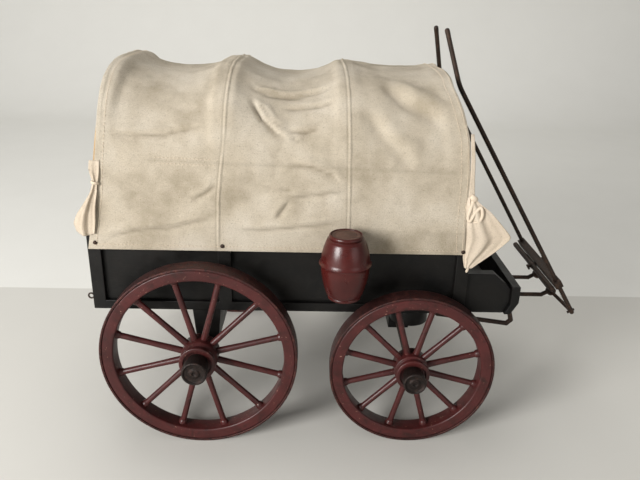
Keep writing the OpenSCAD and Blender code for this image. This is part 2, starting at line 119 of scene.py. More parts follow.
def edges(tree, radiusMm, place, perMm, share):  # near share where an outer edge is rubbed, broken up by noise
    rounded = add(tree, "ShaderNodeBevel", {"samples": 6}, {"Radius": radiusMm / 1000}).outputs[0]
    plain = add(tree, "ShaderNodeNewGeometry").outputs["Normal"]
    same = add(tree, "ShaderNodeVectorMath", {"operation": "DOT_PRODUCT"}, {0: rounded, 1: plain})
    turn = add(tree, "ShaderNodeMapRange", inputs={"Value": same.outputs["Value"], "From Min": 0.995,
                                                   "From Max": 0.86})
    noiseAt = add(tree, "ShaderNodeTexNoise", inputs={"Vector": place, "Scale": perMm, "Detail": 5,
                                                      "Roughness": 0.6})
    gaps = add(tree, "ShaderNodeMapRange", inputs={"Value": noiseAt.outputs["Fac"], "From Min": 0.46,
                                                   "From Max": 0.62})
    rub = add(tree, "ShaderNodeMath", product, {0: turn.outputs["Result"], 1: gaps.outputs["Result"]}).outputs[0]
    wearAndShade = add(tree, "ShaderNodeMapRange", inputs={"Value": rub, "To Max": share})
    return add(tree, "ShaderNodeMath", product, {0: rub, 1: wearAndShade.outputs["Result"]}).outputs[0]


def paintedWood(name, s):
    # Oil enamel brushed over wood: satin, faint brush lines along the board, bare wood at rubbed edges.
    material, tree, shader, place = begin(name, {"Roughness": 0.4, "IOR": 1.5, "Specular IOR Level": s["shine"],
                                                 "Coat Weight": s["coat"], "Coat Roughness": 0.25})
    cloud = add(tree, "ShaderNodeTexNoise", inputs={"Vector": place, "Scale": 0.035, "Detail": 5,
                                                    "Roughness": 0.55})
    colour = add(tree, "ShaderNodeValToRGB", {"stops": [(0.3, s["deep"]), (0.7, s["paint"])]},
                 {"Fac": cloud.outputs["Fac"]}).outputs["Color"]
    smear = add(tree, "ShaderNodeTexNoise", inputs={"Vector": place, "Scale": 0.09, "Detail": 6,
                                                    "Roughness": 0.65, "Distortion": 0.8})
    grime = add(tree, "ShaderNodeMapRange", inputs={"Value": smear.outputs["Fac"], "From Min": 0.5,
                                                    "From Max": 0.68, "To Max": s["grime"]})
    colour = add(tree, "ShaderNodeMix", blend,
                 {0: grime.outputs["Result"], 6: colour, 7: linear(s["dirt"])}).outputs[2]
    rub = edges(tree, 0.9, place, 0.35, s["wear"])
    colour = add(tree, "ShaderNodeMix", blend, {0: rub, 6: colour, 7: linear(s["bare"])}).outputs[2]
    specks = add(tree, "ShaderNodeTexNoise", inputs={"Vector": place, "Scale": 0.55, "Detail": 3,
                                                     "Roughness": 0.5})
    chips = add(tree, "ShaderNodeMapRange", inputs={"Value": specks.outputs["Fac"], "From Min": 0.70,
                                                    "From Max": 0.73, "To Max": s["chips"]})
    colour = add(tree, "ShaderNodeMix", blend,
                 {0: chips.outputs["Result"], 6: colour, 7: linear(s["chip"])}).outputs[2]
    tree.links.new(colour, shader.inputs["Base Color"])
    # bristle lines about a millimetre apart
    along = add(tree, "ShaderNodeMapping", inputs={"Vector": place, "Scale": s["grain"]}).outputs[0]
    brush = add(tree, "ShaderNodeTexNoise", inputs={"Vector": along, "Scale": 1.1, "Detail": 3, "Roughness": 0.5})
    sheen = add(tree, "ShaderNodeTexNoise", inputs={"Vector": place, "Scale": 0.08, "Detail": 4,
                                                    "Roughness": 0.55})
    gloss = add(tree, "ShaderNodeMapRange", inputs={"Value": sheen.outputs["Fac"], "From Min": 0.3, "From Max": 0.7,
                                                    "To Min": s["rough"][0], "To Max": s["rough"][1]})
    tree.links.new(gloss.outputs["Result"], shader.inputs["Roughness"])
    relief = add(tree, "ShaderNodeBump", inputs={"Strength": 1.0, "Distance": s["relief"] / 1000,
                                                 "Height": brush.outputs["Fac"]})
    tree.links.new(relief.outputs[0], shader.inputs["Normal"])
    return material


def forgedIron(name, s):
    # Forged iron with a brown oxide skin: dull, mottled, a little brighter where it is rubbed.
    material, tree, shader, place = begin(name, {"Metallic": 0.55, "Roughness": 0.5})
    mottle = add(tree, "ShaderNodeTexNoise", inputs={"Vector": place, "Scale": 0.28, "Detail": 6,
                                                     "Roughness": 0.65}).outputs["Fac"]
    colour = add(tree, "ShaderNodeValToRGB", {"stops": [(0.3, s["dark"]), (0.55, s["skin"]), (0.75, s["rust"])]},
                 {"Fac": mottle}).outputs["Color"]
    rub = edges(tree, 0.7, place, 0.5, s["wear"])
    colour = add(tree, "ShaderNodeMix", blend, {0: rub, 6: colour, 7: linear(s["bright"])}).outputs[2]
    tree.links.new(colour, shader.inputs["Base Color"])
    dull = add(tree, "ShaderNodeMapRange", inputs={"Value": mottle, "From Min": 0.3, "From Max": 0.75,
                                                   "To Min": s["rough"][0], "To Max": s["rough"][1]})
    tree.links.new(dull.outputs["Result"], shader.inputs["Roughness"])
    scale = add(tree, "ShaderNodeTexNoise", inputs={"Vector": place, "Scale": 0.9, "Detail": 6, "Roughness": 0.7})
    relief = add(tree, "ShaderNodeBump", inputs={"Strength": 1.0, "Distance": s["relief"] / 1000,
                                                 "Height": scale.outputs["Fac"]})
    tree.links.new(relief.outputs[0], shader.inputs["Normal"])
    return material


def agedWood(name, s):
    # Sawn hardwood, oiled: long grain streaks with fine pores between them.
    material, tree, shader, place = begin(name, {"Roughness": 0.6, "IOR": 1.45})
    along = add(tree, "ShaderNodeMapping", inputs={"Vector": place, "Scale": s["grain"]}).outputs[0]
    streaks = add(tree, "ShaderNodeTexNoise", inputs={"Vector": along, "Scale": 0.35, "Detail": 6,
                                                      "Roughness": 0.6, "Distortion": 0.4}).outputs["Fac"]
    colour = add(tree, "ShaderNodeValToRGB", {"stops": [(0.3, s["dark"]), (0.5, s["mid"]), (0.72, s["light"])]},
                 {"Fac": streaks}).outputs["Color"]
    tree.links.new(colour, shader.inputs["Base Color"])
    relief = add(tree, "ShaderNodeBump", inputs={"Strength": 1.0, "Distance": 0.25 / 1000, "Height": streaks})
    tree.links.new(relief.outputs[0], shader.inputs["Normal"])
    return material


def wovenCanvas(name, s):
    # Unbleached plain-weave cotton: dry, slightly nubbly, with uneven toning and a soft edge glow.
    material, tree, shader, place = begin(name, {"Roughness": 0.92, "IOR": 1.4, "Specular IOR Level": 0.15,
                                                 "Sheen Weight": 0.12, "Sheen Roughness": 0.5})
    cloth = add(tree, "ShaderNodeAttribute", {"attribute_name": "clothMm"}).outputs["Vector"]
    tone = add(tree, "ShaderNodeTexNoise", inputs={"Vector": place, "Scale": 0.018, "Detail": 5, "Roughness": 0.6})
    colour = add(tree, "ShaderNodeValToRGB", {"stops": [(0.3, s["dark"]), (0.5, s["mid"]), (0.7, s["light"])]},
                 {"Fac": tone.outputs["Fac"]}).outputs["Color"]
    blots = add(tree, "ShaderNodeTexNoise", inputs={"Vector": place, "Scale": 0.06, "Detail": 6, "Roughness": 0.7,
                                                    "Distortion": 0.6})
    stain = add(tree, "ShaderNodeMapRange", inputs={"Value": blots.outputs["Fac"], "From Min": 0.56,
                                                    "From Max": 0.78}).outputs["Result"]
    depth = add(tree, "ShaderNodeMapRange", inputs={"Value": stain, "To Min": 0.1, "To Max": s["stains"]})
    stain = add(tree, "ShaderNodeMath", product, {0: stain, 1: depth.outputs["Result"]}).outputs[0]
    colour = add(tree, "ShaderNodeMix", blend, {0: stain, 6: colour, 7: linear(s["stain"])}).outputs[2]
    # threads are about half a millimetre apart, drawn at 1.1 mm so that they show
    yarn = {"Vector": cloth, "Scale": s["threads"], "Distortion": 0.6, "Detail": 1.5, "Detail Scale": 0.6}
    warp, weft = (add(tree, "ShaderNodeTexWave", {"bands_direction": way}, yarn).outputs["Fac"] for way in "XY")
    weave = add(tree, "ShaderNodeMath", {"operation": "ADD"}, {0: warp, 1: weft}).outputs[0]
    slub = add(tree, "ShaderNodeTexNoise", inputs={"Vector": cloth, "Scale": 0.9, "Detail": 3, "Roughness": 0.6})
    height = add(tree, "ShaderNodeMath", {"operation": "MULTIPLY_ADD"},
                 {0: weave, 1: 0.3, 2: slub.outputs["Fac"]}).outputs[0]
    gap = add(tree, "ShaderNodeMapRange", inputs={"Value": height, "From Min": 0.25, "From Max": 1.05,
                                                  "To Min": 0.55, "To Max": 0.0})
    colour = add(tree, "ShaderNodeMix", blend,
                 {0: gap.outputs["Result"], 6: colour, 7: linear(s["thread"])}).outputs[2]
    # painted shade: the cloth is darkened in its creases and beside its seams, where shade falls
    wearAndShade = add(tree, "ShaderNodeAttribute", {"attribute_name": "foldSoil"}).outputs["Fac"]
    shadeShare = add(tree, "ShaderNodeMapRange", inputs={"Value": wearAndShade, "To Max": 0.62})
    colour = add(tree, "ShaderNodeMix", blend,
                 {0: shadeShare.outputs["Result"], 6: colour, 7: linear(s["paintedShade"])}).outputs[2]
    # slubs and seed flecks in the yarn, a millimetre or two long
    seeds = add(tree, "ShaderNodeTexNoise", inputs={"Vector": cloth, "Scale": 0.5, "Detail": 5, "Roughness": 0.8})
    fleck = add(tree, "ShaderNodeMapRange", inputs={"Value": seeds.outputs["Fac"], "From Min": 0.56,
                                                    "From Max": 0.66, "To Max": 0.45})
    colour = add(tree, "ShaderNodeMix", blend,
                 {0: fleck.outputs["Result"], 6: colour, 7: linear(s["speck"])}).outputs[2]
    tree.links.new(colour, shader.inputs["Base Color"])
    relief = add(tree, "ShaderNodeBump", inputs={"Strength": 1.0, "Distance": s["relief"] / 1000, "Height": height})
    tree.links.new(relief.outputs[0], shader.inputs["Normal"])
    return material


blackEnamel = paintedWood("black_oil_enamel", dict(
    paint="#100e0c", deep="#080808", bare="#3a3026", wear=0.5, shine=0.22, coat=0.03, rough=(0.34, 0.5),
    relief=0.14, grain=(0.06, 1.0, 1.0), grime=0.4, dirt="#191715", chips=0.25, chip="#4a4237"))
redEnamel = paintedWood("oxblood_oil_enamel", dict(
    paint="#481d1c", deep="#331211", bare="#8a5a4b", wear=0.9, shine=0.3, coat=0.08, rough=(0.32, 0.5),
    relief=0.14, grain=(0.5, 0.5, 0.5), grime=0.85, dirt="#26110e", chips=0.7, chip="#a37a6a"))
barrelEnamel = paintedWood("barrel_gloss_enamel", dict(
    paint="#461613", deep="#320e0c", bare="#6c3a2b", wear=0.4, shine=0.28, coat=0.14, rough=(0.24, 0.38),
    relief=0.1, grain=(1.0, 1.0, 0.12), grime=0.5, dirt="#2c0f0d", chips=0.3, chip="#7f4f42"))
oxideIron = forgedIron("forged_oxide_iron", dict(
    dark="#1d1511", skin="#372920", rust="#593e2f", bright="#80705f", wear=0.7, rough=(0.45, 0.65), relief=0.4))
capIron = forgedIron("blackened_cap_iron", dict(
    dark="#0f0a08", skin="#221814", rust="#3a261e", bright="#6b5648", wear=0.8, rough=(0.4, 0.6), relief=0.5))
tyreIron = forgedIron("rolled_tyre_iron", dict(
    dark="#1c1412", skin="#40201e", rust="#5f3a2e", bright="#a5826e", wear=0.95, rough=(0.4, 0.6), relief=0.35))
lidWood = agedWood("oiled_walnut_lid", dict(dark="#2e1a15", mid="#4a2f25", light="#5f4031", grain=(0.12, 1.2, 1.0)))
bowWood = agedWood("steamed_ash_bow", dict(dark="#7d613a", mid="#a18256", light="#bb9c6d", grain=(1.0, 0.1, 0.1)))
# each cloth's crease colour, #6d5f49 and #8d7b62, is painted shade laid into the creases and beside the seams
canvas = wovenCanvas("unbleached_cotton_duck", dict(
    dark="#aea18b", mid="#d6cab6", light="#e8decd", stain="#a09079", stains=0.6, thread="#85765d", paintedShade="#6d5f49",
    speck="#75664f", threads=0.75, relief=0.6))
flapCanvas = wovenCanvas("washed_cotton_duck", dict(
    dark="#c4b5a0", mid="#dccdb9", light="#e8dac8", stain="#b5a48c", stains=0.35, thread="#a8967d", paintedShade="#8d7b62",
    speck="#8a795f", threads=0.75, relief=0.5))
print("materials made")


# mesh helpers

def build(name, points, faces, material, body, slotName, smooth=40):
    mesh = bpy.data.meshes.new(name)
    mesh.from_pydata([tuple(p) for p in points], [], faces)
    mesh.validate()
    mesh.update()
    piece = bpy.data.objects.new(name, mesh)
    scene.collection.objects.link(piece)
    mesh.materials.append(material)
    mesh.shade_smooth()
    if smooth:
        mesh.set_sharp_from_angle(angle=math.radians(smooth))
    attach(piece, body)
    return piece


def rings(count, around, closed=False, capped=False):  # faces between rows of ring points
    faces = []
    for k in range(count if closed else count - 1):
        a, b = k * around, ((k + 1) % count) * around
        for i in range(around):
            j = (i + 1) % around
            faces.append((a + i, a + j, b + j, b + i))
    if capped:
        faces.append(tuple(reversed(range(around))))
        faces.append(tuple((count - 1) * around + i for i in range(around)))
    return faces


def turned(profile, around, place, loop=False):  # a turned shape: profile of radius and height round +Z
    points = []
    for r, z in profile:
        for i in range(around):
            a = 2 * math.pi * i / around
            points.append(place @ Vector((r * math.cos(a) / 1000, r * math.sin(a) / 1000, z / 1000)))
    return points, rings(len(profile), around, closed=loop, capped=not loop)


def softened(corners, radius, steps=4):  # the profile with its corners rounded; a corner may give its own radius
    out = []
    count = len(corners)
    for k, corner in enumerate(corners):
        p = Vector(corner[:2])
        r = corner[2] if len(corner) > 2 else radius
        if r <= 0:
            out.append(tuple(p))
            continue
        a, b = Vector(corners[k - 1][:2]) - p, Vector(corners[(k + 1) % count][:2]) - p
        r = min(r, a.length * 0.45, b.length * 0.45)
        first, last = p + a.normalized() * r, p + b.normalized() * r
        for i in range(steps + 1):
            t = i / steps
            out.append(tuple(first * (1 - t) ** 2 + p * 2 * t * (1 - t) + last * t ** 2))
    return out


def join(parts):  # several lists of points and faces as one
    points, faces = [], []
    for more, shapes in parts:
        start = len(points)
        points += more
        faces += [tuple(start + i for i in shape) for shape in shapes]
    return points, faces


def swept(line, section, around, sideways=Vector((0, 1, 0))):  # a bar along a line; section gives its radius
    points = []
    for k, p in enumerate(line):
        ahead = (line[min(k + 1, len(line) - 1)] - line[max(k - 1, 0)]).normalized()
        across = (sideways - ahead * sideways.dot(ahead)).normalized()
        third = ahead.cross(across)
        for i in range(around):
            a = 2 * math.pi * i / around
            r = section(k, a) / 1000
            points.append(p + (across * math.cos(a) + third * math.sin(a)) * r)
    return points, rings(len(line), around, capped=True)


def keep(node, material, roundMm=0.5):  # a CAD part stays and gets its finish and softened edges
    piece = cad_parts[node]
    for place in piece.material_slots:
        place.material = material
    if not piece.material_slots:
        piece.data.materials.append(material)
    if roundMm:
        weld = piece.modifiers.new("weld", "WELD")
        weld.merge_threshold = 1e-5
        soft = piece.modifiers.new("soft edges", "BEVEL")
        soft.width, soft.segments, soft.limit_method = roundMm / 1000, 2, "ANGLE"
        soft.angle_limit = math.radians(35)
    return piece


# body, bows and irons

for node in ("bed_floor", "right_side_board", "left_side_board", "tail_board", "front_board",
             "right_side_frame", "left_side_frame", "rear_bolster", "front_bolster", "axle_block"):
    keep(node, blackEnamel, 0.7)
for node in ("rear_bow", "second_bow", "third_bow", "front_bow"):
    keep(node, bowWood, 0.6)
for node in ("barrel_pin", "rear_axle", "step_irons", "screw_eyes", "front_axle", "kingpin",
             "draught_irons", "crossbar", "hinge_rod", "singletree_bolt"):
    keep(node, oxideIron, 0.0 if node == "screw_eyes" else 0.35)

tacks = dict(radius=1.9, height=0.9, places=[(-94, 197.5), (22, 196), (134, 195.5), (244, 194)])
parts = []
for side in (-1, 1):
    for x, z in tacks["places"]:
        out = side * (high("canvas_cover").y + 0.2)
        place = Matrix.Translation(at(x, out, z)) @ Matrix.Rotation(-side * math.pi / 2, 4, "X")
        dome = [(0.05, -0.6), (tacks["radius"], -0.6)] + [
            (tacks["radius"] * math.cos(a), tacks["height"] * math.sin(a)) for a in (0, 0.35, 0.7, 1.05, 1.35, 1.54)]
        parts.append(turned(dome, 20, place))
build("cover_tacks", *join(parts), oxideIron, "wagon", "iron")
print("body finished")


# wheels

wheels = dict(around=144, spokes=12, spokeSwell=3.15, spokeWaist=2.75, socket=3.9, socketLength=3.2,
              felloeDepth=10.6, felloeRound=1.9, grooveDepth=0.55, groove=0.9)


def spoke(inner, outer, place, angle):
    s = wheels
    line = [(inner, s["spokeSwell"]), (inner + 4, s["spokeSwell"]), (inner * 0.55 + outer * 0.45, s["spokeWaist"]),
            (outer - s["socketLength"] - 0.6, s["spokeWaist"] + 0.1), (outer - s["socketLength"], s["socket"] - 0.5),
            (outer - s["socketLength"] * 0.5, s["socket"]), (outer + 0.6, s["socket"] + 0.3)]
    turn = place @ Matrix.Rotation(angle, 4, "Z") @ Matrix.Rotation(math.pi / 2, 4, "Y")
    return turned([(r, along) for along, r in line], 18, turn)


for corner in corners:
    body = f"{corner}_wheel"
    tyreBox, naveBox, capBox = size(f"{corner}_tyre"), size(f"{corner}_nave"), size(f"{corner}_hub_cap")
    hubAt = middle(f"{corner}_tyre")
    side = -1 if hubAt.y < 0 else 1
    place = Matrix.Translation(hubAt) @ Matrix.Rotation(-side * math.pi / 2, 4, "X")
    radius, half = tyreBox.z / 2, tyreBox.y / 2
    inside = size(f"{corner}_felloe").z / 2

    def outward(node, end):  # how far a part of the hub reaches outwards from the middle of the rim
        ends = [side * (low(node).y - hubAt.y * 1000), side * (high(node).y - hubAt.y * 1000)]
        return max(ends) if end else min(ends)

    tyre = softened([(radius, half), (radius, -half), (inside, -half), (inside, half)], 0.7)
    piece = build(f"{corner}_iron_tyre", *turned(tyre, wheels["around"], place, True), tyreIron, body, "tyre_iron")
    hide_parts(f"{corner}_tyre")

    rim, deep, w = inside - 0.02, inside - wheels["felloeDepth"], half - 0.5
    g, d = wheels["groove"], wheels["grooveDepth"]
    felloe = softened([(rim, w - d - 0.2, 0), (rim - g, w, 0.3), (deep, w, wheels["felloeRound"]),
                       (deep, -w, wheels["felloeRound"]), (rim - g, -w, 0.3), (rim, 0.2 + d - w, 0)], 0.4)
    piece = build(f"{corner}_rim", *turned(felloe, wheels["around"], place, True), redEnamel, body, "oxblood_paint")
    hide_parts(f"{corner}_felloe")

    naveR, naveBack = naveBox.z / 2, outward(f"{corner}_nave", False)
    front = outward(f"{corner}_nave", True)
    capR, capEnd = capBox.z / 2, outward(f"{corner}_hub_cap", True)
    collarR = naveR - 0.5
    parts = [spoke(naveR - 2, deep, place, (k + 0.5) * 2 * math.pi / wheels["spokes"])
             for k in range(wheels["spokes"])]
    piece = build(f"{corner}_turned_spokes", *join(parts), redEnamel, body, "oxblood_paint")
    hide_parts(f"{corner}_spokes")

    bore = 4.05
    nave = softened([(bore, naveBack, 0.2), (naveR - 3, naveBack, 1), (naveR, naveBack + 3, 1.2), (naveR, 7, 0.8),
                     (collarR - 1.7, front - 7.5, 0.5), (collarR - 1.7, front - 5.5, 0.4),
                     (collarR, front - 4.2, 0.8),
                     (collarR, front, 1.3), (capR + 1.4, front, 0.7), (capR + 1.2, front - 2.5, 0.2),
                     (bore, front - 2.5, 0)], 0.5)
    piece = build(f"{corner}_turned_nave", *turned(nave, 72, place, True), redEnamel, body, "oxblood_paint")
    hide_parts(f"{corner}_nave")

    cap = softened([(bore + 0.5, front - 2.4, 0), (capR - 1.2, front - 2.4, 0), (capR - 1.2, front + 4.5, 0.4),
                    (capR, front + 5.4, 0.5), (capR, capEnd - 0.6, 0.9), (capR - 1.5, capEnd, 0.6),
                    (capR - 2.6, capEnd - 1.6, 0.5), (5.2, capEnd - 1.9, 0.5), (4.4, capEnd - 0.9, 0.5),
                    (2.2, capEnd - 0.7, 0.4), (1.6, capEnd - 1.7, 0.3), (0.05, capEnd - 1.8, 0)], 0.5)
    piece = build(f"{corner}_turned_cap", *turned(cap, 64, place), capIron, body, "iron")
    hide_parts(f"{corner}_hub_cap")
print("wheels turned")


# barrel

barrel = dict(lip=1.5, recess=1.6, bead=0.56, beadHeight=1.6, footRing=2.4, around=96)
barrelAt = middle("barrel")
foot, crown = low("barrel").z, high("barrel_lid").z
tall = crown - foot
endR, beadR = size("barrel_lid").x / 2, size("barrel").x / 2
staveR = beadR - 1.6
place = Matrix.Translation(Vector((barrelAt.x, barrelAt.y, foot / 1000)))


def stave(t):  # radius of the barrel's side at a share of its height
    k = (t - barrel["bead"]) / (1 - barrel["bead"] if t > barrel["bead"] else barrel["bead"])
    return endR - 0.8 + (staveR - endR + 0.8) * (1 - abs(k) ** 1.9)


outline = [(0.05, 0), (endR - 2, 0), (endR - 0.6, 0.5), (endR - 0.3, 1.4), (endR - 0.8, 2.6)]
for k in range(1, 30):
    t = 0.045 + 0.905 * k / 30
    ring = barrel["beadHeight"] * math.exp(-((t - barrel["bead"]) * tall / 1.3) ** 2)
    outline.append((stave(t) + ring, t * tall))
outline += [(endR - 0.9, tall - 3.6), (endR - 0.1, tall - 2.9), (endR, tall - 1.8), (endR - 0.4, tall - 0.6),
            (endR - 1.1, tall - 0.1), (endR - 1.7, tall - 0.4), (endR - 1.9, tall - 1.2), (endR - 2, tall - 4),
            (0.05, tall - 4)]
piece = build("barrel_body", *turned(outline, barrel["around"], place), barrelEnamel, "wagon", "barrel_paint", 50)
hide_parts("barrel")
lid = [(0.05, tall - 3.9), (endR - 2.1, tall - 3.9), (endR - 2.1, tall - 1.1), (endR - 2.5, tall - 0.75),
       (endR - 5, tall - 0.8), (endR - 5.5, tall - 1.0), (endR - 6, tall - 0.8), (0.05, tall - 0.6)]
piece = build("barrel_cover_disc", *turned(lid, 64, place), lidWood, "wagon", "lid_wood")
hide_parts("barrel_lid")
print("barrel turned")


# shafts and singletree

shafts = dict(lobes=4, ridge=0.17, pitch=8.8, step=0.55, around=28, length=273, tip=52, tipLean=14,
              baseHalf=59, bendHalf=50, tipHalf=28.5)
shaftR = 2.4
tipLean = math.radians(shafts["tipLean"])
box = [low("right_shaft"), high("right_shaft")]
# the box gives the lean: its length along X is the shaft and its bent tip
run = box[1].x - box[0].x
lean = 0.5
for k in range(6):  # the shaft's own thickness depends on the lean, so it is found in a few steps
    lean = math.asin((run - shafts["tip"] * math.sin(tipLean) - shaftR * (math.cos(lean) + math.cos(tipLean)))
                     / shafts["length"])
topZ = box[1].z - shaftR * math.sin(tipLean)
baseZ = topZ - shafts["tip"] * math.cos(tipLean) - shafts["length"] * math.cos(lean)
baseX = fromAxle(box[1].x) - shaftR * math.cos(lean)


def shaftLine(side):
    along = Vector((-math.sin(lean), 0, math.cos(lean)))
    first = Vector((baseX, side * shafts["baseHalf"], baseZ))
    bend = Vector((baseX, side * shafts["bendHalf"], baseZ)) + along * shafts["length"]
    last = Vector((bend.x - shafts["tip"] * math.sin(tipLean), side * shafts["tipHalf"],
                   bend.z + shafts["tip"] * math.cos(tipLean)))
    legs = [(first, bend), (bend, last)]
    points = []
    for a, b in legs:
        count = int((b - a).length / shafts["step"])
        points += [a + (b - a) * i / count for i in range(count)]
    points.append(last)
    smooth = list(points)
    for k in range(12, len(points) - 12):  # the bend is a short curve
        smooth[k] = sum((points[j] for j in range(k - 12, k + 13)), Vector()) / 25
    return [at(*p) for p in smooth]


for side, node in ((-1, "right_shaft"), (1, "left_shaft")):
    line = shaftLine(side)
    total = len(line)

    def section(k, angle):
        along = k * shafts["step"]
        plain = min(1, max(0, (along - 8) / 4)) * min(1, max(0, (total * shafts["step"] - along - 5) / 4))
        turn = shafts["lobes"] * angle - 2 * math.pi * along / shafts["pitch"] * shafts["lobes"]
        end = min(k, total - 1 - k)
        tipRound = 1 if end > 3 else (0.55, 0.8, 0.93, 0.98)[end]
        return shaftR * tipRound * (1 - 1.1 * shafts["ridge"] * plain * (0.5 - 0.5 * math.cos(turn)))

    pinX = Vector((math.cos(lean), 0, math.sin(lean)))
    pinUp = Vector((-math.sin(lean), 0, math.cos(lean)))
    foot = Vector((baseX, side * shafts["baseHalf"], baseZ)) + pinUp * 4
    pin = [foot - pinX * 4.5, foot - pinX * 2, foot, foot + pinX * 2, foot + pinX * 3.5]
    parts = [swept(line, section, shafts["around"]), swept([at(*p) for p in pin], lambda k, a: 1.3, 14)]
    piece = build(f"{node}_twisted", *join(parts), oxideIron, "shafts", "iron", 0)
    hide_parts(node)

tree = dict(radius=3.0, clip=3.5, clipHalf=5, step=0.6, pitch=14)
treeAt, treeHalf = middle("singletree"), size("singletree").y / 2
count = int(2 * treeHalf / tree["step"])
line = [treeAt + Vector((0, (-treeHalf + 2 * treeHalf * k / count) / 1000, 0)) for k in range(count + 1)]


def treeSection(k, angle):
    along = abs(-treeHalf + 2 * treeHalf * k / count)
    end = treeHalf - along
    if along < tree["clipHalf"]:
        return tree["clip"] - (0.4 if tree["clipHalf"] - along < 0.6 else 0)
    dome = math.sqrt(max(0.02, 1 - (1 - min(1, end / tree["radius"])) ** 2))
    twist = 4 * angle - 8 * math.pi * along / tree["pitch"]
    return tree["radius"] * dome * (1 - 0.06 * (0.5 - 0.5 * math.cos(twist)))


piece = build("singletree_bar", *swept(line, treeSection, 28, Vector((1, 0, 0))), oxideIron, "singletree", "iron", 0)
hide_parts("singletree")
print("irons forged")


# canvas cover

cover = dict(thick=1.0, squareness=3.4, sag=(12, 13, 3.5), coarse=2.0, fine=0.75, rowStep=2.75,
             seamHigh=1.0, seamWide=1.0, creaseDepth=2.3, creaseWide=0.8, panelSeam=86,
             rear=[(0, -101), (53, -90), (108, -85), (240, -80)],
             second=[(0, 18), (53, 20), (108, 26), (240, 30)],
             third=[(0, 138), (115, 136), (240, 132)],
             front=[(0, 246), (37, 244), (75, 244), (115, 242), (168, 230), (240, 228)])
# each crease: points along the wagon and up the cloth from its lower edge, depth and half width
creases = [
    ([(-79, 106), (-53, 106), (-27, 108), (-6, 114), (11, 117)], 1.2, 3.0),
    ([(-5, 50), (9, 58), (19, 66)], 1.0, 2.6),
    ([(-89, 6), (-74, 15), (-52, 20), (-24, 23), (3, 31), (18, 37)], 1.3, 3.2),
    ([(44, 170), (52, 162), (80, 159), (116, 165), (128, 170)], 1.4, 3.4),
    ([(46, 150), (58, 127), (72, 113), (84, 108)], 2.4, 3.4),
    ([(54, 146), (66, 126), (80, 116)], 1.4, 2.8),
    ([(54, 157), (98, 156)], 1.0, 2.8),
    ([(72, 140), (106, 143), (128, 148)], 1.3, 3.0),
    ([(80, 116), (96, 115), (112, 121)], 1.3, 2.8),
    ([(84, 112), (92, 106)], 1.2, 2.2),
    ([(82, 86), (99, 86), (121, 79), (130, 68)], 1.6, 3.0),
    ([(80, 56), (110, 60), (137, 66)], 1.2, 3.0),
    ([(59, 65), (88, 63)], 0.9, 2.6),
    ([(70, 35), (84, 54)], 0.9, 2.8),
    ([(30, 25), (57, 24), (93, 29), (138, 35)], 1.1, 3.0),
    ([(164, 174), (190, 145), (222, 127)], 2.0, 9.0),
    ([(150, 140), (165, 114), (198, 84)], 1.4, 8.0)]

hemZ, topZ = low("canvas_cover").z, high("canvas_cover").z - cover["thick"] / 2
halfWide = high("canvas_cover").y - cover["thick"] / 2 - 0.4
springZ = high("right_side_board").z
crestFrom = fromAxle(low("canvas_cover").x)  # the crest falls evenly from here to the front
crestFall = (high("rear_bow").z - high("front_bow").z) / (low("front_bow").x - high("rear_bow").x)


def archLine():
    t = np.linspace(0, math.pi / 2, 1500)
    y = halfWide * np.cos(t) ** (2 / cover["squareness"])
    z = springZ + (topZ - springZ) * np.sin(t) ** (2 / cover["squareness"])
    y[-1], z[0] = 0, springZ
    y = np.concatenate([[-halfWide], -y, y[::-1][1:], [halfWide]])
    z = np.concatenate([[hemZ], z, z[::-1][1:], [hemZ]])
    length = np.concatenate([[0], np.cumsum(np.hypot(np.diff(y), np.diff(z)))])
    return y, z, length


archY, archZ, archLength = archLine()
clothLength = archLength[-1]


def step(low, high, value):
    t = np.clip((value - low) / (high - low), 0, 1)
    return t * t * (3 - 2 * t)


def table(name, up):  # an edge's or seam's place along the wagon at a height up the cloth
    heights, places = zip(*cover[name])
    return np.interp(up, heights, places)


